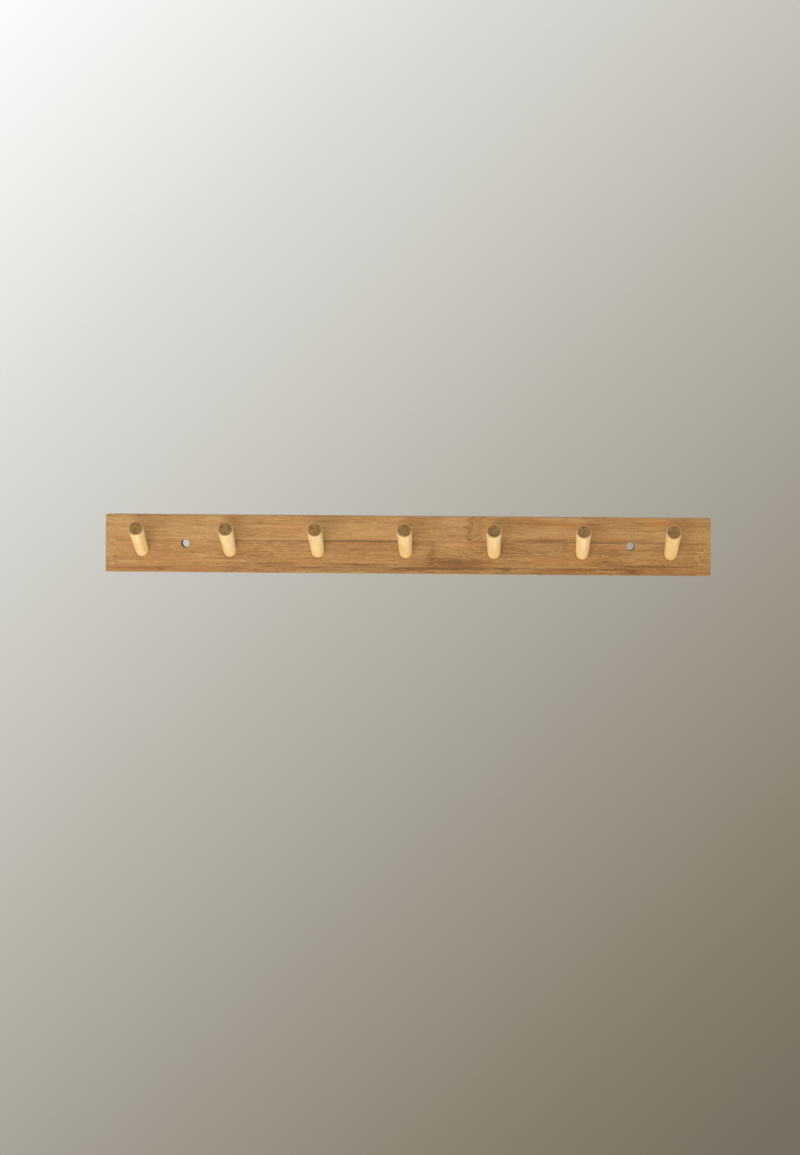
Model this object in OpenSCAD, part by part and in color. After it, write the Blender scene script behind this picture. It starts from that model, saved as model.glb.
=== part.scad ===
// Wall coat rack: a long three-layer bamboo board with a row of tilted dowel pegs.
// The board's back face lies on the wall plane y = 0 and the pegs point towards -Y.
// The origin is the centre of the back face, midway between the two screw holes.

/* [Board] */
// Length of the board, end to end
board_length = 680; // [620:5:900]
// Height of the board, bottom edge to top edge
board_height = 65; // [58:1:90]
// Thickness of each of the board's three layers
layer_thickness = 6; // [5:0.5:9]
// Radius of the board's four corners, seen from the front
corner_radius = 2; // [1:0.5:6]
// Radius of the eased edges round the front and back faces
edge_radius = 1; // [0.5:0.25:2]

/* [Bamboo strips] */
// Width of one full strip of bamboo
strip_width = 28.9; // [24:0.1:31]
// Height of the front layer's upper glue line above the board's centre line
glue_line_height = 3.9; // [1:0.1:8]
// Rise of the glue lines from one layer to the layer behind it
glue_line_step = 4; // [0:0.5:6]

/* [Pegs] */
// Distance from the board's left end to the first peg
left_margin = 41.2; // [30:0.1:60]
// Distance from the last peg to the board's right end
right_margin = 44.8; // [30:0.1:60]
// Depth below the board's centre line at which the pegs' axes meet the front face
peg_drop = 7.5; // [4:0.1:12]
// Angle by which the pegs rise from level
peg_tilt = 21; // [10:1:30]
// Length of a peg outside the board, along its axis
peg_length = 72; // [50:1:100]
// Diameter of a peg where it enters the board
peg_root_diameter = 14.8; // [12:0.2:18]
// Diameter of a peg at its free end
peg_end_diameter = 16.6; // [14:0.2:22]
// Radius round the rim of the free end
peg_rim_radius = 1; // [0.5:0.25:3]
// Length of the plain cylinder behind the rim, before the peg narrows
peg_end_length = 6; // [4:1:20]
// Bevel round the hidden end that goes into the board
tenon_bevel = 1; // [0.5:0.25:2]

/* [Sockets] */
// Wood left between the deepest point of a socket and the back face
socket_floor = 2; // [1:0.5:4]
// Clearance for glue round a peg in its socket
glue_gap = 0.05; // [0.02:0.01:0.1]
// Space for glue under the hidden end of a peg
glue_pocket = 0.3; // [0.1:0.1:0.6]

/* [Screw holes] */
// Diameter of the two plain screw holes
screw_hole_diameter = 9; // [5:0.5:10]
// Distance from each screw hole to its own end of the board
screw_margin = 90; // [80:1:100]

/* [Hidden] */
$fn = 64;

// The layers are counted from the front, and the strips of a layer from the top
front = 0;
core = 1;
back = 2;
layer_count = 3;
top = 0;
middle = 1;
bottom = 2;

board_thickness = layer_count * layer_thickness;
front_face = -board_thickness;
board_top = board_height / 2;

peg_count = 7;
first_peg_x = left_margin - board_length / 2;
peg_pitch = (board_length - left_margin - right_margin) / (peg_count - 1);
root_radius = peg_root_diameter / 2;
end_radius = peg_end_diameter / 2;
socket_radius = root_radius + glue_gap;
// The socket's flat end leans with the peg, so its upper rim lies deepest
socket_depth = (board_thickness - socket_floor - socket_radius * sin(peg_tilt)) / cos(peg_tilt);
tenon_length = socket_depth - glue_pocket;
// The slanted mouth of the socket reaches this far along the peg, on its upper side
mouth_reach = socket_radius * tan(peg_tilt);
// The peg stays a plain cylinder until it is this far clear of the mouth
mouth_clear = 1;
root_length = mouth_reach + mouth_clear;
screw_x = board_length / 2 - screw_margin;

// Cutting shapes stand proud of what they cut by this much
past = 1;

bamboo = [0.72, 0.54, 0.34];
bamboo_core = [0.78, 0.62, 0.42];
peg_wood = [0.94, 0.83, 0.62];

function peg_x(number) = first_peg_x + (number - 1) * peg_pitch;
function upper_glue_line(layer) = glue_line_height + layer * glue_line_step;
function lower_glue_line(layer) = upper_glue_line(layer) - strip_width;
function strip_high(layer, place) =
    place == top ? board_top + past : place == middle ? upper_glue_line(layer) : lower_glue_line(layer);
function strip_low(layer, place) =
    place == top ? upper_glue_line(layer) : place == middle ? lower_glue_line(layer) : -board_top - past;

// Rectangle with round corners, about the origin
module rounded_rectangle(width, height, radius) {
    square([width - 2 * radius, height], center = true);
    square([width, height - 2 * radius], center = true);
    for (side_x = [-1, 1], side_y = [-1, 1])
        translate([side_x * (width / 2 - radius), side_y * (height / 2 - radius)])
            circle(r = radius);
}

// The glued and planed board before it is drilled: its outline from the front,
// from the end and from above
module board_blank() {
    translate([0, -board_thickness / 2, 0]) intersection() {
        rotate([90, 0, 0])
            linear_extrude(board_thickness + 2 * past, center = true)
                rounded_rectangle(board_length, board_height, corner_radius);
        rotate([90, 0, 90])
            linear_extrude(board_length + 2 * past, center = true)
                rounded_rectangle(board_thickness, board_height, edge_radius);
        linear_extrude(board_height + 2 * past, center = true)
            rounded_rectangle(board_length, board_thickness, edge_radius);
    }
}

// Puts its children at a peg's place, with +Z along the peg and z = 0 on the front face
module at_peg(number) {
    translate([peg_x(number), front_face, -peg_drop])
        rotate([90 - peg_tilt, 0, 0])
            children();
}

module socket() {
    translate([0, 0, -socket_depth])
        cylinder(r = socket_radius, h = socket_depth + mouth_reach + past);
}

module screw_hole() {
    rotate([90, 0, 0])
        cylinder(d = screw_hole_diameter, h = board_thickness + 2 * past, center = true);
}

module drillings() {
    for (number = [1 : peg_count])
        at_peg(number) socket();
    for (side = [-1, 1])
        translate([side * screw_x, -board_thickness / 2, 0]) screw_hole();
}

// One bamboo strip: its share of the board, between the glue lines round it
module strip(layer, place) {
    low = strip_low(layer, place);
    high = strip_high(layer, place);
    color(layer == core ? bamboo_core : bamboo) difference() {
        intersection() {
            board_blank();
            translate([-board_length / 2 - past, front_face + layer * layer_thickness, low])
                cube([board_length + 2 * past, layer_thickness, high - low]);
        }
        drillings();
    }
}

// Half section of a peg, from the bevelled end in the socket to the rounded rim
module peg_profile() {
    rim_x = end_radius - peg_rim_radius;
    rim_y = peg_length - peg_rim_radius;
    polygon([
        [0, -tenon_length],
        [root_radius - tenon_bevel, -tenon_length],
        [root_radius, tenon_bevel - tenon_length],
        [root_radius, root_length],
        [end_radius, peg_length - peg_end_length],
        [end_radius, rim_y],
        [rim_x, rim_y],
        [rim_x, peg_length],
        [0, peg_length]
    ]);
    translate([rim_x, rim_y]) intersection() {
        circle(r = peg_rim_radius);
        square(peg_rim_radius);
    }
}

module peg(number) {
    color(peg_wood) at_peg(number) rotate_extrude() peg_profile();
}

strip(front, top);  // front_strip_top
strip(front, middle);  // front_strip_middle
strip(front, bottom);  // front_strip_bottom
strip(core, top);  // core_strip_top
strip(core, middle);  // core_strip_middle
strip(core, bottom);  // core_strip_bottom
strip(back, top);  // back_strip_top
strip(back, middle);  // back_strip_middle
strip(back, bottom);  // back_strip_bottom
peg(1);  // peg_1
peg(2);  // peg_2
peg(3);  // peg_3
peg(4);  // peg_4
peg(5);  // peg_5
peg(6);  // peg_6
peg(7);  // peg_7
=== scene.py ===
from math import cos, pi, radians, sin

import bpy
from mathutils import Matrix, Vector


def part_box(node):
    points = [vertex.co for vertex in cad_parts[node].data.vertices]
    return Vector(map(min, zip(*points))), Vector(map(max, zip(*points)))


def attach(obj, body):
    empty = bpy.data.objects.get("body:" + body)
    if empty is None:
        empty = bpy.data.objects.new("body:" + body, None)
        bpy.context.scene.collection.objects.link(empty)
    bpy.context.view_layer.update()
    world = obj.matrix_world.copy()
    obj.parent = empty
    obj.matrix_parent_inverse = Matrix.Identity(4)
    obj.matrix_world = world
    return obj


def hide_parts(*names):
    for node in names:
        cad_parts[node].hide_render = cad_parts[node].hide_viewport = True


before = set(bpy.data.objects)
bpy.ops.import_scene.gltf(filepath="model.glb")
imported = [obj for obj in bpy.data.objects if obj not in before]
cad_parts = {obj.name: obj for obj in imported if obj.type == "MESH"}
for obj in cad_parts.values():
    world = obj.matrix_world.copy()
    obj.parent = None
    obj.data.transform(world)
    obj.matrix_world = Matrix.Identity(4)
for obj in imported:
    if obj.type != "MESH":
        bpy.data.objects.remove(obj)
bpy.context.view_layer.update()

boardLow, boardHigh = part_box("front_strip_top")
frontFace = boardLow.y
boardLeft, boardRight = boardLow.x, boardHigh.x
pegCount = sum(name.startswith("peg_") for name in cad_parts)
hair = 0.0001  # metres; places closer than this count as one
print("frame loaded:", len(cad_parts), "CAD nodes,", pegCount, "pegs")


# Colours are written as on a paint chart and turned into what the shaders expect
def paint(chart):
    channels = [int(chart[i:i + 2], 16) / 255 for i in (0, 2, 4)]
    return [c / 12.92 if c <= 0.04045 else ((c + 0.055) / 1.055) ** 2.4 for c in channels] + [1.0]


def deselectAll():
    if bpy.context.object and bpy.context.object.mode != "OBJECT":
        bpy.ops.object.mode_set(mode="OBJECT")
    bpy.ops.object.select_all(action="DESELECT")


# Shader helpers: each takes sockets or plain numbers
def addNode(tree, kind, **settings):
    made = tree.nodes.new(kind)
    for key, value in settings.items():
        setattr(made, key, value)
    return made


def feed(tree, socket, value):
    if isinstance(value, bpy.types.NodeSocket):
        tree.links.new(value, socket)
    else:
        socket.default_value = value


def maths(tree, operation, first, second=0.0, third=0.0, clamp=False):
    made = addNode(tree, "ShaderNodeMath", operation=operation, use_clamp=clamp)
    for socket, value in zip(made.inputs, (first, second, third)):
        feed(tree, socket, value)
    return made.outputs[0]


def remap(tree, value, low, high, newLow=0.0, newHigh=1.0, smooth=False):
    made = addNode(tree, "ShaderNodeMapRange", interpolation_type="SMOOTHSTEP" if smooth else "LINEAR")
    for socket, number in zip(made.inputs[:5], (value, low, high, newLow, newHigh)):
        feed(tree, socket, number)
    return made.outputs[0]


# Distance from the middle, from the offsets along two axes
def awayFrom(tree, first, second):
    squares = maths(tree, "MULTIPLY_ADD", first, first, maths(tree, "MULTIPLY", second, second))
    return maths(tree, "SQRT", squares)


def splitPlace(tree, place):
    split = addNode(tree, "ShaderNodeSeparateXYZ")
    feed(tree, split.inputs[0], place)
    return split.outputs


# The Mix node's colours are its inputs 6 and 7 and its output 2
def mixColour(tree, factor, first, second):
    made = addNode(tree, "ShaderNodeMix", data_type="RGBA")
    feed(tree, made.inputs[0], factor)
    feed(tree, made.inputs[6], first)
    feed(tree, made.inputs[7], second)
    return made.outputs[2]


# Several stops (position from 0 to 1, colour) along a factor
def colourRamp(tree, factor, stops):
    made = addNode(tree, "ShaderNodeValToRGB")
    elements = made.color_ramp.elements
    elements.remove(elements[1])
    for number, (position, colour) in enumerate(stops):
        stop = elements.new(position) if number else elements[0]
        stop.position = position
        stop.color = colour
    feed(tree, made.inputs[0], factor)
    return made.outputs["Color"]


# The same with stops that name a colour of a look
def toneRamp(tree, factor, look, stops):
    return colourRamp(tree, factor, [(position, paint(look[tone])) for position, tone in stops])


# A grain is the length of its fibres along X, Y and Z in metres, then its detail and roughness.
# The seed moves the noise, by another length along each axis
noiseSteps = (1.0, 1.7, 2.3)


def grainNoise(tree, place, grain, seed):
    lengths, detail, roughness = grain
    stretch = addNode(tree, "ShaderNodeMapping")
    stretch.inputs["Scale"].default_value = [1 / length for length in lengths]
    stretch.inputs["Location"].default_value = [seed * step for step in noiseSteps]
    feed(tree, stretch.inputs["Vector"], place)
    made = addNode(tree, "ShaderNodeTexNoise")
    feed(tree, made.inputs["Vector"], stretch.outputs[0])
    made.inputs["Scale"].default_value = 1.0
    made.inputs["Detail"].default_value = detail
    made.inputs["Roughness"].default_value = roughness
    return made.outputs["Fac"]


# Noise from its middle value, so that it pulls both ways
def swing(tree, noise):
    return maths(tree, "SUBTRACT", noise, 0.5)


# A soft patch: 1 at its centre, 0 where its half sizes end
def softPatch(tree, place, centre, halves):
    spot = addNode(tree, "ShaderNodeMapping", vector_type="TEXTURE")
    spot.inputs["Location"].default_value = centre
    spot.inputs["Scale"].default_value = halves
    feed(tree, spot.inputs["Vector"], place)
    fade = addNode(tree, "ShaderNodeTexGradient", gradient_type="SPHERICAL")
    feed(tree, fade.inputs["Vector"], spot.outputs[0])
    return fade.outputs["Fac"]


# A fine bump from a height, no deeper than depth metres
def addBump(tree, shader, height, depth, strength):
    bump = addNode(tree, "ShaderNodeBump")
    bump.inputs["Strength"].default_value = strength
    bump.inputs["Distance"].default_value = depth
    feed(tree, bump.inputs["Height"], height)
    tree.links.new(bump.outputs[0], shader.inputs["Normal"])


def startMaterial(name):
    material = bpy.data.materials.new(name)
    material.use_nodes = True
    tree = material.node_tree
    return material, tree, tree.nodes["Principled BSDF"]


def objectPlace(tree):
    return addNode(tree, "ShaderNodeTexCoord").outputs["Object"]


# Flat-pressed bamboo: the fibres run along X in all three layers
bambooLook = {
    "deep": "7a4f1a", "dark": "8b5d24", "middle": "b08246", "light": "c99c61",
    "stops": [(0.0, "deep"), (0.12, "dark"), (0.50, "middle"), (0.88, "light")],
    "reddish": "ba7c3e", "bundle": "6f4211", "glue": "4f2f10", "bore": "8a602f",
    "knuckleDark": "8a5519", "footShadow": "5f3a12",
    "broadGrain": ((0.12, 0.012, 0.0100), 2, 0.55), "streakGrain": ((0.065, 0.0018, 0.0015), 3, 0.62),
    "fineGrain": ((0.014, 0.0015, 0.0012), 2, 0.6), "fleckGrain": ((0.0028, 0.0011, 0.0009), 1, 0.5),
    "bundleGrain": ((0.012, 0.0006, 0.0005), 1, 0.5), "redGrain": ((0.09, 0.02, 0.012), 2, 0.5),
    "waveGrain": ((0.12, 0.05, 0.05), 1, 0.5), "swirlGrain": ((0.007, 0.007, 0.006), 2, 0.5),
    "wanderGrain": ((0.02, 0.02, 0.0045), 2, 0.65), "mottleGrain": ((0.0038, 0.0040, 0.0026), 2, 0.6),
    # how strongly the grains show, and how far they bend the fibres, in metres
    "broadTone": 0.60, "streakTone": 0.75, "fineTone": 0.95, "fleckTone": 0.60, "bundleTone": 0.30,
    "mottleTone": 3.4, "wave": 0.003, "swirl": 0.0075, "wander": 0.020,
    # between two values of a noise the amount goes from one number to another
    "bundleShow": (0.56, 0.72, 0.0, 1.0), "redShow": (0.42, 0.75, 0.0, 0.45),
    "speckShow": (0.42, 0.60, 0.10, 1.0), "patchShow": (0.38, 0.62, 0.70, 1.25),
    "glueShow": (0.35, 0.65, 0.60, 1.0), "roughness": (0.30, 0.70, 0.42, 0.58),
    # footSpread and footShadeTone set the painted shadow round each peg's foot
    "glueHalfWidth": 0.0020, "glueFade": 2.2, "footSpread": 1.22, "footShadeTone": 0.40,
    "boreX": 0.250, "boreRadius": 0.0047, "boreFade": 0.0003, "bareBoreAndShadeTone": 0.9, "boreRougher": 0.5,
    "coat": 0.08, "coatRoughness": 0.35, "bumpDepth": 0.00006, "bumpStrength": 0.6, "bundleBump": -0.6,
}

# Each strip: its tone, its knuckles (x, half length, strength, darkness) and its patches
# (x, z, half length, half height, lighter or darker); the reddish ones have no last number
strips = {
    "front_strip_top": {
        "seed": 3.1, "tone": 0.18,
        "knuckles": [(0.0705, 0.006, 1.0, 0.9), (0.081, 0.012, 1.0, 0.6), (-0.302, 0.004, 0.35, 0.5)],
        "patches": [
            (-0.152, 0.0200, 0.050, 0.0022, 0.55), (-0.310, 0.0245, 0.035, 0.0060, 0.30),
            (-0.055, 0.0140, 0.060, 0.0100, 0.25), (-0.052, 0.0050, 0.048, 0.0018, -0.35),
            (0.080, 0.0160, 0.014, 0.0150, 0.05), (0.160, 0.0245, 0.080, 0.0024, -0.45),
            (0.275, 0.0265, 0.040, 0.0050, -0.28), (0.275, 0.0115, 0.030, 0.0045, -0.22),
            (0.150, 0.0062, 0.056, 0.0030, -0.60), (0.240, 0.0060, 0.040, 0.0020, -0.35),
        ],
        "reddish": [
            (-0.196, 0.0280, 0.016, 0.0050), (0.184, 0.0235, 0.024, 0.0050), (0.292, 0.0265, 0.036, 0.0050),
        ],
    },
    "front_strip_middle": {
        "seed": 11.7, "tone": -0.03,
        "knuckles": [
            (0.028, 0.007, 0.8, 0.7), (-0.332, 0.009, 0.55, 0.0),
            (0.330, 0.009, 0.6, 0.05), (0.177, 0.006, 0.45, 0.6),
        ],
        "patches": [
            (-0.150, -0.0110, 0.060, 0.0060, 0.10), (-0.310, -0.0030, 0.040, 0.0080, 0.25),
            (0.052, 0.0008, 0.018, 0.0030, 0.60), (-0.228, -0.0140, 0.030, 0.0040, 0.45),
            (0.225, -0.0070, 0.040, 0.0110, -0.32), (0.050, -0.0200, 0.060, 0.0075, -0.50),
            (0.100, -0.0060, 0.060, 0.0090, -0.15), (0.030, -0.0110, 0.013, 0.0110, -0.10),
            (0.055, -0.0238, 0.060, 0.0022, -0.30), (-0.155, -0.0225, 0.060, 0.0030, -0.45),
            (-0.050, -0.0225, 0.065, 0.0024, -0.50), (0.270, -0.0225, 0.075, 0.0026, -0.50),
            (0.225, -0.0185, 0.035, 0.0040, -0.35), (-0.310, -0.0205, 0.030, 0.0016, 0.50),
            (-0.220, -0.0190, 0.055, 0.0016, 0.40), (-0.334, -0.0060, 0.014, 0.0130, 0.28),
            (0.330, -0.0080, 0.012, 0.0120, 0.06),
        ],
    },
    "front_strip_bottom": {
        "seed": 23.9, "tone": -0.14, "knuckles": [(0.253, 0.007, 0.4, 0.3)],
        "patches": [
            (-0.300, -0.0275, 0.045, 0.0018, -0.60), (0.107, -0.0249, 0.012, 0.0021, -3.60),
            (0.111, -0.0283, 0.006, 0.0010, -1.80), (0.060, -0.0262, 0.080, 0.0030, -0.55),
            (-0.278, -0.0292, 0.0035, 0.0014, -1.10), (0.228, -0.0262, 0.024, 0.0012, -0.50),
            (-0.020, -0.0275, 0.060, 0.0040, -0.25), (0.180, -0.0275, 0.040, 0.0040, -0.35),
            (0.252, -0.0280, 0.016, 0.0065, -0.42),
        ],
    },
    "core_strip_top": {"seed": 31.3, "tone": 0.10, "knuckles": [(-0.120, 0.006, 0.7, 0.8)]},
    "core_strip_middle": {"seed": 43.7, "tone": 0.04, "knuckles": [(0.210, 0.006, 0.7, 0.8)]},
    "core_strip_bottom": {"seed": 53.1, "tone": 0.08, "knuckles": [(0.020, 0.006, 0.7, 0.8)]},
    "back_strip_top": {
        "seed": 61.9, "tone": 0.05, "knuckles": [(-0.205, 0.008, 0.9, 0.8), (0.235, 0.007, 0.8, 0.7)],
    },
    "back_strip_middle": {"seed": 71.3, "tone": -0.02, "knuckles": [(-0.030, 0.008, 0.9, 0.8)]},
    "back_strip_bottom": {
        "seed": 83.7, "tone": 0.05, "knuckles": [(0.120, 0.008, 0.8, 0.7), (-0.280, 0.006, 0.7, 0.6)],
    },
}

# How strongly the front face's glue lines show along X; the others show evenly
upperGlueShow = [
    (-0.340, 0.10), (-0.205, 0.12), (-0.190, 0.50), (-0.110, 0.55), (-0.096, 1.0), (-0.010, 1.0),
    (0.000, 0.12), (0.068, 0.12), (0.075, 0.55), (0.092, 0.50), (0.104, 0.40), (0.190, 0.45),
    (0.204, 0.90), (0.246, 0.85), (0.256, 0.45), (0.300, 0.40), (0.340, 0.15),
]
lowerGlueShow = [
    (-0.340, 0.10), (-0.115, 0.12), (-0.090, 0.35), (0.000, 0.30), (0.020, 0.22), (0.118, 0.32),
    (0.130, 0.20), (0.205, 0.20), (0.215, 0.50), (0.246, 0.45), (0.260, 0.15), (0.340, 0.12),
]
evenGlueShow = [(-0.340, 0.45), (0.340, 0.45)]


# Where the bamboo is lighter or darker, with the noises and masks that this comes from
def bambooFigure(tree, place, strip, x, y, z):
    look = bambooLook
    seed = strip["seed"]
    # knuckles: a mask along X that wanders a little across the strip, and their specks
    wander = swing(tree, grainNoise(tree, place, look["wanderGrain"], seed))
    knuckle = 0.0
    specks = 0.0
    for knuckleX, halfLength, strength, darkness in strip["knuckles"]:
        off = maths(tree, "MULTIPLY_ADD", wander, look["wander"], maths(tree, "SUBTRACT", x, knuckleX))
        near = remap(tree, maths(tree, "ABSOLUTE", off), 0.0, halfLength, strength, 0.0, smooth=True)
        knuckle = maths(tree, "ADD", knuckle, near, clamp=True)
        specks = maths(tree, "MULTIPLY_ADD", near, darkness, specks, clamp=True)

    # the fibres swirl round a knuckle and wave gently elsewhere
    swirl = swing(tree, grainNoise(tree, place, look["swirlGrain"], seed + 5))
    swirl = maths(tree, "MULTIPLY", maths(tree, "MULTIPLY", swirl, knuckle), look["swirl"])
    wave = swing(tree, grainNoise(tree, place, look["waveGrain"], seed + 9))
    wave = maths(tree, "MULTIPLY_ADD", wave, look["wave"], swirl)
    bent = addNode(tree, "ShaderNodeCombineXYZ")
    feed(tree, bent.inputs[0], x)
    feed(tree, bent.inputs[1], maths(tree, "ADD", y, wave))
    feed(tree, bent.inputs[2], maths(tree, "ADD", z, wave))
    fibres = bent.outputs[0]

    broad = grainNoise(tree, fibres, look["broadGrain"], seed)
    streak = grainNoise(tree, fibres, look["streakGrain"], seed + 2)
    fine = grainNoise(tree, fibres, look["fineGrain"], seed + 3)
    fleck = grainNoise(tree, fibres, look["fleckGrain"], seed + 7)
    bundle = grainNoise(tree, fibres, look["bundleGrain"], seed + 4)
    bundle = remap(tree, bundle, *look["bundleShow"], smooth=True)
    grains = ((broad, "broadTone"), (streak, "streakTone"), (fine, "fineTone"), (fleck, "fleckTone"))
    shade = 0.5 + strip["tone"]
    for noise, tone in grains:
        shade = maths(tree, "MULTIPLY_ADD", swing(tree, noise), look[tone], shade)
    # patches come out stronger and weaker with the streaks
    uneven = remap(tree, streak, *look["patchShow"])
    for patchX, patchZ, halfLength, halfHeight, amount in strip.get("patches", []):
        patch = softPatch(tree, fibres, (patchX, 0, patchZ), (halfLength, 1, halfHeight))
        shade = maths(tree, "MULTIPLY_ADD", maths(tree, "MULTIPLY", patch, uneven), amount, shade)
    # a knuckle is mottled, lighter and darker
    mottle = grainNoise(tree, place, look["mottleGrain"], seed + 6)
    mottled = maths(tree, "MULTIPLY", swing(tree, mottle), knuckle)
    shade = maths(tree, "MULTIPLY_ADD", mottled, look["mottleTone"], shade, clamp=True)
    return {
        "shade": shade, "fibres": fibres, "streak": streak, "fine": fine,
        "bundle": bundle, "mottle": mottle, "specks": specks,
    }


# 1 at a peg's foot on the front face, fading out a little beyond it: the mask of the painted shadow round
# each peg
def pegFootShadow(tree, x, z):
    pitch = (pegX(pegCount) - pegX(1)) / (pegCount - 1)
    across = maths(tree, "WRAP", maths(tree, "SUBTRACT", x, pegX(1)), pitch / 2, -pitch / 2)
    across = maths(tree, "DIVIDE", across, dowel["rootRadius"])
    up = maths(tree, "ADD", z, dowel["drop"])
    up = maths(tree, "DIVIDE", up, dowel["rootRadius"] / cos(radians(dowel["tilt"])))
    return remap(tree, awayFrom(tree, across, up), 1.0, bambooLook["footSpread"], 1.0, 0.0, smooth=True)


# zLines and yLines are the glue lines' heights and depths, each with how it shows along X
def makeBamboo(name, strip, zLines, yLines):
    look = bambooLook
    material, tree, shader = startMaterial("bamboo_" + name)
    place = objectPlace(tree)
    x, y, z = splitPlace(tree, place)
    figure = bambooFigure(tree, place, strip, x, y, z)
    colour = toneRamp(tree, figure["shade"], look, look["stops"])

    # redder here and there, and browner in the fibre bundles and the knuckles' specks
    redder = grainNoise(tree, figure["fibres"], look["redGrain"], strip["seed"] + 8)
    redder = remap(tree, redder, *look["redShow"], smooth=True)
    for patchX, patchZ, halfLength, halfHeight in strip.get("reddish", []):
        patch = softPatch(tree, figure["fibres"], (patchX, 0, patchZ), (halfLength, 1, halfHeight))
        redder = maths(tree, "ADD", redder, patch, clamp=True)
    colour = mixColour(tree, redder, colour, paint(look["reddish"]))
    bundle = maths(tree, "MULTIPLY", figure["bundle"], look["bundleTone"])
    colour = mixColour(tree, bundle, colour, paint(look["bundle"]))
    speck = remap(tree, figure["mottle"], *look["speckShow"], smooth=True)
    speck = maths(tree, "MULTIPLY", speck, figure["specks"])
    colour = mixColour(tree, speck, colour, paint(look["knuckleDark"]))

    # the glue lines between the strips and between the layers
    along = remap(tree, x, boardLeft, boardRight)
    uneven = remap(tree, figure["streak"], *look["glueShow"])
    glueLines = [(height, z, show) for height, show in zLines] + [(depth, y, show) for depth, show in yLines]
    for line, across, show in glueLines:
        gap = maths(tree, "ABSOLUTE", maths(tree, "SUBTRACT", across, line))
        seam = remap(tree, gap, 0.0, look["glueHalfWidth"], 1.0, 0.0)
        seam = maths(tree, "POWER", seam, look["glueFade"])
        stops = [((at - boardLeft) / (boardRight - boardLeft), [grey, grey, grey, 1]) for at, grey in show]
        seam = maths(tree, "MULTIPLY", maths(tree, "MULTIPLY", seam, uneven), colourRamp(tree, along, stops))
        colour = mixColour(tree, seam, colour, paint(look["glue"]))

    # a thin dark line round each peg: painted shadow where the peg meets the board
    if name.startswith("front"):
        foot = maths(tree, "MULTIPLY", pegFootShadow(tree, x, z), look["footShadeTone"])
        colour = mixColour(tree, foot, colour, paint(look["footShadow"]))

    # the drilled walls of the screw holes are rough and bare; their darker colour is partly bare wood and
    # partly painted shade in the holes
    off = maths(tree, "SUBTRACT", maths(tree, "ABSOLUTE", x), look["boreX"])
    wallEnd = look["boreRadius"] + look["boreFade"]
    bore = remap(tree, awayFrom(tree, off, z), look["boreRadius"], wallEnd, 1.0, 0.0, smooth=True)
    colour = mixColour(tree, maths(tree, "MULTIPLY", bore, look["bareBoreAndShadeTone"]), colour, paint(look["bore"]))
    feed(tree, shader.inputs["Base Color"], colour)

    rough = remap(tree, figure["streak"], *look["roughness"])
    rough = maths(tree, "MULTIPLY_ADD", bore, look["boreRougher"], rough, clamp=True)
    feed(tree, shader.inputs["Roughness"], rough)
    feed(tree, shader.inputs["Coat Weight"], maths(tree, "MULTIPLY_ADD", bore, -look["coat"], look["coat"]))
    shader.inputs["Coat Roughness"].default_value = look["coatRoughness"]
    height = maths(tree, "MULTIPLY_ADD", figure["bundle"], look["bundleBump"], figure["fine"])
    addBump(tree, shader, height, look["bumpDepth"], look["bumpStrength"])
    return material


def dressStrips():
    layers = {"front": [], "core": [], "back": []}
    for name in strips:
        layers[name.split("_")[0]].append(name)
    for layer, names in layers.items():
        edges = sorted({round(v, 5) for name in names for v in (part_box(name)[0].z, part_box(name)[1].z)})
        depths = {round(v, 5) for v in (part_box(names[0])[0].y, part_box(names[0])[1].y)}
        shows = (lowerGlueShow, upperGlueShow) if layer == "front" else (evenGlueShow, evenGlueShow)
        yLines = [(v, evenGlueShow) for v in sorted(depths) if frontFace + hair < v < -hair]
        for name in names:
            low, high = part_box(name)
            zLines = [(v, s) for v, s in zip(edges[1:-1], shows) if low.z - hair < v < high.z + hair]
            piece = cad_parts[name]
            piece.data.materials.clear()
            piece.data.materials.append(makeBamboo(name, strips[name], zLines, yLines))


# The dowel peg: its sizes as in the part, in metres, then its looks
dowel = {
    "tilt": 21, "drop": 0.0075, "length": 0.072, "rootRadius": 0.0074, "endRadius": 0.0083,
    "rim": 0.0010, "endLength": 0.006, "tenon": 0.0140, "tenonBevel": 0.001, "rootLength": 0.0039,
    "sides": 96, "rimSteps": 5, "endRings": (0.0006, 0.0030), "smoothAngle": 40, "endFacing": 0.99,
    # foot is the colour of the painted shade where a peg meets the board
    "dark": "e2b46c", "middle": "f1cc8e", "light": "fadba5", "golden": "edbf70", "foot": "b07c34",
    "endLight": "ae844c", "endMiddle": "966e3a", "endDark": "67461f",
    "sideStops": [(0.12, "dark"), (0.50, "middle"), (0.85, "light")],
    "endStops": [(0.30, "endLight"), (0.52, "endMiddle"), (0.85, "endDark")],
    "broadGrain": ((0.006, 0.006, 0.05), 2, 0.55), "streakGrain": ((0.0016, 0.0016, 0.035), 2, 0.5),
    "fineGrain": ((0.0013, 0.0013, 0.0040), 2, 0.55), "blotchGrain": ((0.0035, 0.0035, 0.02), 3, 0.6),
    "sideSeed": 7.3, "endSeed": 4.1, "poreSize": 0.00055, "poreShow": (0.12, 0.50, 1.0, 0.0),
    "broadTone": 1.0, "streakTone": 0.8, "fineTone": 0.55, "poreTone": 0.22,
    "warmReach": 0.045, "paintedBounceTone": 0.30, "footReach": 0.0020, "footShadeTone": 0.7,
    "rimReach": 0.0012, "rimTone": 0.75, "roughness": (0.30, 0.70, 0.46, 0.60),
    "endRoughness": (0.0, 1.0, 0.62, 0.80), "coat": 0.03, "coatRoughness": 0.4,
    "bumpDepth": 0.00003, "endBumpDepth": 0.00006, "bumpStrength": 0.5,
}
# How golden each peg is, from the left: each is turned from its own stick
pegGolden = [0.0, 0.0, 0.05, 0.30, 0.20, 0.05, 0.25]


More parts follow.
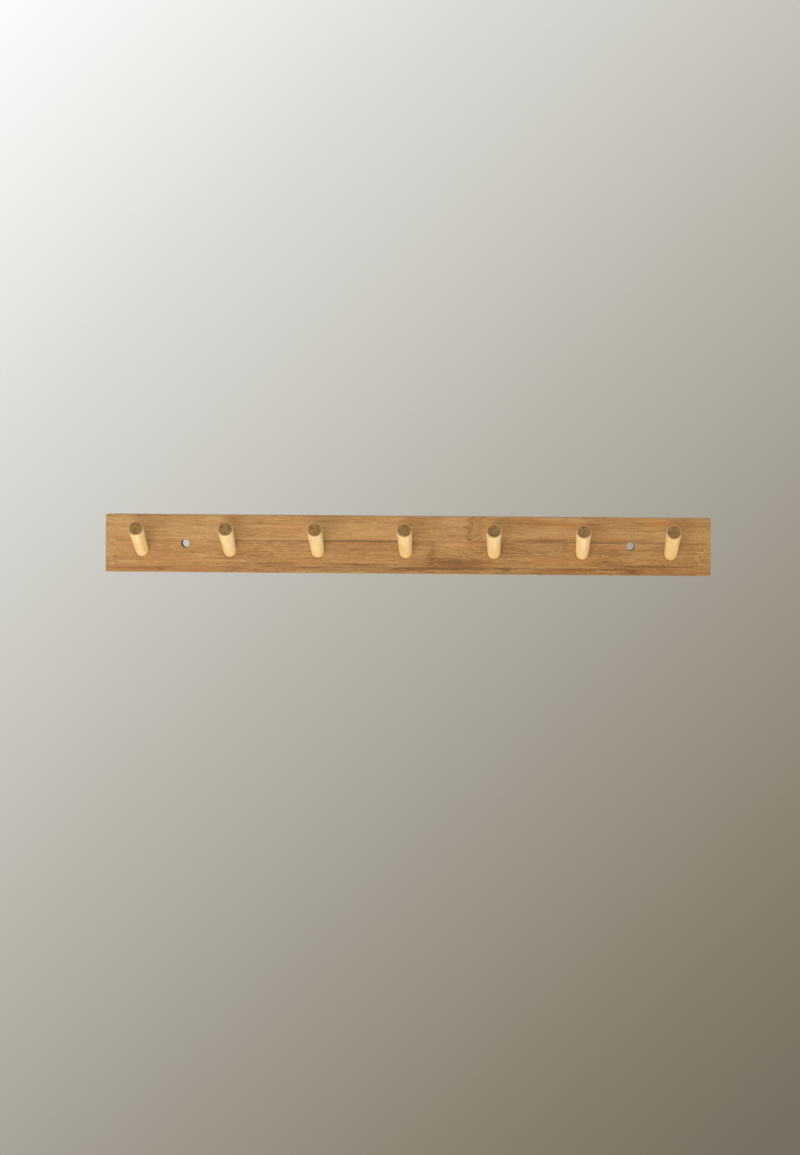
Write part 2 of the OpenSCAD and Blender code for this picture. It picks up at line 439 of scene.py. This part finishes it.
def pegX(number):
    low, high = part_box(f"peg_{number}")
    return (low.x + high.x) / 2


# Turns the peg's own axis from +Z to its slope out of the board
def pegTurn():
    return Matrix.Rotation(radians(90 - dowel["tilt"]), 4, "X")


# Object coordinates turned so that Z runs along the peg, from the board's face
def pegPlace(tree):
    back = addNode(tree, "ShaderNodeMapping", vector_type="TEXTURE")
    back.inputs["Location"].default_value = (0, frontFace, -dowel["drop"])
    back.inputs["Rotation"].default_value = pegTurn().to_euler()
    feed(tree, back.inputs["Vector"], objectPlace(tree))
    return back.outputs[0]


def makePegSide(number):
    look = dowel
    material, tree, shader = startMaterial(f"pegSide{number}")
    place = pegPlace(tree)
    seed = number * look["sideSeed"]
    broad = grainNoise(tree, place, look["broadGrain"], seed)
    streak = grainNoise(tree, place, look["streakGrain"], seed + 2)
    fine = grainNoise(tree, place, look["fineGrain"], seed + 5)
    shade = 0.5
    for noise, tone in ((broad, "broadTone"), (streak, "streakTone"), (fine, "fineTone")):
        shade = maths(tree, "MULTIPLY_ADD", swing(tree, noise), look[tone], shade)
    colour = toneRamp(tree, shade, look, look["sideStops"])
    # each peg's own golden tone, with painted warm bounce light from the board added towards it, and painted
    # shade darkest right at the board
    along = splitPlace(tree, place)[2]
    golden = pegGolden[number - 1]
    goldenAndBounce = remap(tree, along, 0.0, look["warmReach"], golden + look["paintedBounceTone"], golden)
    colour = mixColour(tree, goldenAndBounce, colour, paint(look["golden"]))
    foot = remap(tree, along, -look["footReach"], look["footReach"], look["footShadeTone"], 0.0)
    colour = mixColour(tree, foot, colour, paint(look["foot"]))
    # the rounded rim already shows some of the darker end grain
    rim = remap(tree, along, look["length"] - look["rimReach"], look["length"], 0.0, look["rimTone"])
    colour = mixColour(tree, rim, colour, paint(look["endLight"]))
    feed(tree, shader.inputs["Base Color"], colour)
    feed(tree, shader.inputs["Roughness"], remap(tree, streak, *look["roughness"]))
    shader.inputs["Coat Weight"].default_value = look["coat"]
    shader.inputs["Coat Roughness"].default_value = look["coatRoughness"]
    addBump(tree, shader, streak, look["bumpDepth"], look["bumpStrength"])
    return material


def makePegEnd(number):
    look = dowel
    material, tree, shader = startMaterial(f"pegEndGrain{number}")
    place = pegPlace(tree)
    blotch = grainNoise(tree, place, look["blotchGrain"], number * look["endSeed"])
    pores = addNode(tree, "ShaderNodeTexVoronoi", feature="F1")
    pores.inputs["Scale"].default_value = 1 / look["poreSize"]
    feed(tree, pores.inputs["Vector"], place)
    pore = remap(tree, pores.outputs["Distance"], *look["poreShow"], smooth=True)
    shade = maths(tree, "MULTIPLY_ADD", pore, look["poreTone"], blotch)
    feed(tree, shader.inputs["Base Color"], toneRamp(tree, shade, look, look["endStops"]))
    feed(tree, shader.inputs["Roughness"], remap(tree, pore, *look["endRoughness"]))
    sunk = maths(tree, "MULTIPLY", pore, -1.0)
    addBump(tree, shader, sunk, look["endBumpDepth"], look["bumpStrength"])
    return material


# The peg's outline from the hidden end to the rim: (height along the axis, radius)
def pegSections():
    d = dowel
    sections = [
        (-d["tenon"], d["rootRadius"] - d["tenonBevel"]),
        (d["tenonBevel"] - d["tenon"], d["rootRadius"]),
        (d["rootLength"], d["rootRadius"]),
        (d["length"] - d["endLength"], d["endRadius"]),
    ]
    for step in range(d["rimSteps"] + 1):
        turn = step / d["rimSteps"] * pi / 2
        height = d["length"] - d["rim"] * (1 - sin(turn))
        sections.append((height, d["endRadius"] - d["rim"] * (1 - cos(turn))))
    return sections


# A disc at the hidden end, drawn out along the axis from outline point to outline point
def modelPeg():
    sections = pegSections()
    deselectAll()
    height, radius = sections[0]
    bpy.ops.mesh.primitive_circle_add(vertices=dowel["sides"], radius=radius, fill_type="NGON",
                                      location=(0, 0, height))
    peg = bpy.context.object
    bpy.ops.object.transform_apply(location=True, rotation=False, scale=False)
    bpy.ops.object.mode_set(mode="EDIT")
    bpy.ops.mesh.select_all(action="SELECT")
    for newHeight, newRadius in sections[1:]:
        bpy.ops.mesh.extrude_region_move(TRANSFORM_OT_translate={"value": (0, 0, newHeight - height)})
        scale = newRadius / radius
        bpy.ops.transform.resize(value=(scale, scale, 1), center_override=(0, 0, newHeight))
        height, radius = newHeight, newRadius
    # the end face gets two inner rings, so that its shading stays flat
    for thickness in dowel["endRings"]:
        bpy.ops.mesh.inset(thickness=thickness)
    bpy.ops.mesh.select_all(action="SELECT")
    bpy.ops.mesh.normals_make_consistent(inside=False)
    bpy.ops.object.mode_set(mode="OBJECT")
    bpy.ops.object.shade_smooth_by_angle(angle=radians(dowel["smoothAngle"]))
    return peg


def placePegs():
    first = modelPeg()
    endHeight = max(v.co.z for v in first.data.vertices)
    for number in range(1, pegCount + 1):
        node = f"peg_{number}"
        peg = first.copy()
        peg.data = first.data.copy()
        peg.name = f"dowelPeg{number}"
        bpy.context.scene.collection.objects.link(peg)
        peg.data.materials.append(makePegSide(number))
        peg.data.materials.append(makePegEnd(number))
        for face in peg.data.polygons:
            if face.normal.z > dowel["endFacing"] and face.center.z > endHeight - hair:
                face.material_index = 1
        spot = Matrix.Translation((pegX(number), frontFace, -dowel["drop"]))
        peg.data.transform(spot @ pegTurn())
        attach(peg, "root")
        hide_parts(node)
    bpy.data.objects.remove(first)


# Backdrop, floor and surrounding light, in metres; a tone of the wall, painted light and shade, goes with
# its place down the slope, from the top left to the bottom right
studio = {
    "wallSize": 9.0, "floorSize": 40.0, "floorDrop": 1.65, "wallGap": 0.35,
    "floor": "e9e7e1", "floorRoughness": 0.9, "floorGlow": 0.28, "worldLevel": 0.45, "worldSeen": 0.73,
    "wallSlope": (0.69, -0.72), "wallReach": 0.85, "plainWall": "d8d6d0",
    "tonedMiddle": (-0.020, 0.0, -0.055), "tonedHalf": (0.50, 0.0, 0.72), "plainFade": 0.60,
    "wallTones": [
        (-0.85, "fefefd"), (-0.42, "dad9d4"), (0.0, "b9b5ab"),
        (0.30, "a09b8e"), (0.58, "898371"), (0.85, "767060"),
    ],
}


# Paper with painted light, paler at the top left and darker towards the bottom right as painted shade, seen
# from the front alone
def makePaper():
    material, tree, shader = startMaterial("studioPaper")
    tree.nodes.remove(shader)
    place = splitPlace(tree, objectPlace(tree))
    slopeX, slopeZ = studio["wallSlope"]
    reach = studio["wallReach"]
    down = maths(tree, "MULTIPLY_ADD", place[0], slopeX, maths(tree, "MULTIPLY", place[2], slopeZ))
    down = remap(tree, down, -reach, reach)
    stops = [((at + reach) / (2 * reach), paint(tone)) for at, tone in studio["wallTones"]]
    tones = colourRamp(tree, down, stops)
    # beyond the stretch behind the rack the paper is of one tone
    toned = 1.0
    for axis in (0, 2):
        off = maths(tree, "SUBTRACT", place[axis], studio["tonedMiddle"][axis])
        half = studio["tonedHalf"][axis]
        plain = half + studio["plainFade"]
        near = remap(tree, maths(tree, "ABSOLUTE", off), half, plain, 1.0, 0.0, smooth=True)
        toned = maths(tree, "MULTIPLY", toned, near)
    tones = mixColour(tree, toned, paint(studio["plainWall"]), tones)
    shown = addNode(tree, "ShaderNodeEmission")
    feed(tree, shown.inputs["Color"], tones)
    clear = addNode(tree, "ShaderNodeBsdfTransparent")
    facing = maths(tree, "SUBTRACT", 1.0, addNode(tree, "ShaderNodeNewGeometry").outputs["Backfacing"])
    facing = maths(tree, "MULTIPLY", facing, addNode(tree, "ShaderNodeLightPath").outputs["Is Camera Ray"])
    choose = addNode(tree, "ShaderNodeMixShader")
    feed(tree, choose.inputs[0], facing)
    tree.links.new(clear.outputs[0], choose.inputs[1])
    tree.links.new(shown.outputs[0], choose.inputs[2])
    tree.links.new(choose.outputs[0], tree.nodes["Material Output"].inputs["Surface"])
    return material


def makeWall():
    deselectAll()
    size = studio["wallSize"]
    bpy.ops.mesh.primitive_plane_add(size=size, rotation=(pi / 2, 0, 0),
                                     location=(0, studio["wallGap"], size / 2 - studio["floorDrop"]))
    wall = bpy.context.object
    wall.name = "studioWall"
    bpy.ops.object.transform_apply(location=True, rotation=True, scale=True)
    wall.data.materials.append(makePaper())
    # it lights nothing and keeps no light off the rack
    wall.visible_diffuse = False
    wall.visible_glossy = False
    wall.visible_shadow = False


def makeFloor():
    deselectAll()
    bpy.ops.mesh.primitive_plane_add(size=studio["floorSize"], location=(0, 0, -studio["floorDrop"]))
    floor = bpy.context.object
    floor.name = "studioFloor"
    bpy.ops.object.transform_apply(location=True, rotation=True, scale=True)
    material, tree, shader = startMaterial("studioFloor")
    shader.inputs["Base Color"].default_value = paint(studio["floor"])
    shader.inputs["Roughness"].default_value = studio["floorRoughness"]
    # a little paler to the camera alone, which adds no light to the rack
    seen = addNode(tree, "ShaderNodeLightPath").outputs["Is Camera Ray"]
    shader.inputs["Emission Color"].default_value = paint(studio["floor"])
    feed(tree, shader.inputs["Emission Strength"], maths(tree, "MULTIPLY", seen, studio["floorGlow"]))
    floor.data.materials.append(material)


# Area lamps: where they hang, how large they are and their level, where 1 renders a
# colour on a face turned to the lamp as it is written
lamps = {
    "lowSoftbox": {"place": (-0.45, -1.15, -1.05), "size": 1.4, "level": 0.69},
    "sideSoftbox": {"place": (-1.25, -1.25, -0.60), "size": 1.1, "level": 0.16},
    "rightFill": {"place": (1.50, -0.30, -0.35), "size": 0.8, "level": 0.22},
    "backSoftbox": {"place": (0.60, 2.40, -1.00), "size": 1.4, "level": 0.40},
    "topSoftbox": {"place": (0.10, -0.25, 1.60), "size": 1.0, "level": 0.25},
}


def makeLights():
    aim = Vector((0, 0, 0))
    for name, lamp in lamps.items():
        deselectAll()
        bpy.ops.object.light_add(type="AREA", location=lamp["place"])
        light = bpy.context.object
        light.name = name
        light.data.shape = "SQUARE"
        light.data.size = lamp["size"]
        light.data.energy = lamp["level"] * (pi * (aim - light.location).length) ** 2
        light.rotation_euler = (aim - light.location).to_track_quat("-Z", "Y").to_euler()
        light.visible_camera = False
        # the lacquer mirrors only the lamps that hang in front of the board
        light.visible_glossy = lamp["place"][1] < 0
    world = bpy.data.worlds.new("studio")
    bpy.context.scene.world = world
    world.use_nodes = True
    tree = world.node_tree
    background = tree.nodes["Background"]
    background.inputs["Color"].default_value = (1.0, 1.0, 1.0, 1.0)
    seen = addNode(tree, "ShaderNodeLightPath").outputs["Is Camera Ray"]
    level = remap(tree, seen, 0.0, 1.0, studio["worldLevel"], studio["worldSeen"])
    feed(tree, background.inputs["Strength"], level)


# The camera stands off to the right of the rack's middle and a little above it; angles in degrees
photoView = {
    "place": (0.098, -3.721, 0.120), "pan": 1.641, "tilt": -2.421, "roll": -0.38,
    "focalPixels": 3299, "longSidePixels": 1155, "sensor": 36, "clipEnd": 50,
}


def makeCamera():
    deselectAll()
    view = photoView
    bpy.ops.object.camera_add(location=view["place"])
    camera = bpy.context.object
    turn = Matrix.Rotation(radians(view["pan"]), 3, "Z") @ Matrix.Rotation(radians(view["tilt"]), 3, "X")
    turn = turn @ Matrix.Rotation(radians(view["roll"]), 3, "Y") @ Matrix.Rotation(pi / 2, 3, "X")
    camera.rotation_euler = turn.to_euler()
    camera.data.sensor_width = view["sensor"]
    camera.data.lens = view["sensor"] * view["focalPixels"] / view["longSidePixels"]
    camera.data.clip_end = view["clipEnd"]
    bpy.context.scene.camera = camera


dressStrips()
print("board strips dressed:", len(strips))
placePegs()
print("pegs turned and placed:", pegCount)
makeWall()
makeFloor()
makeLights()
makeCamera()
bpy.context.scene.view_settings.view_transform = "Standard"
print("studio ready")
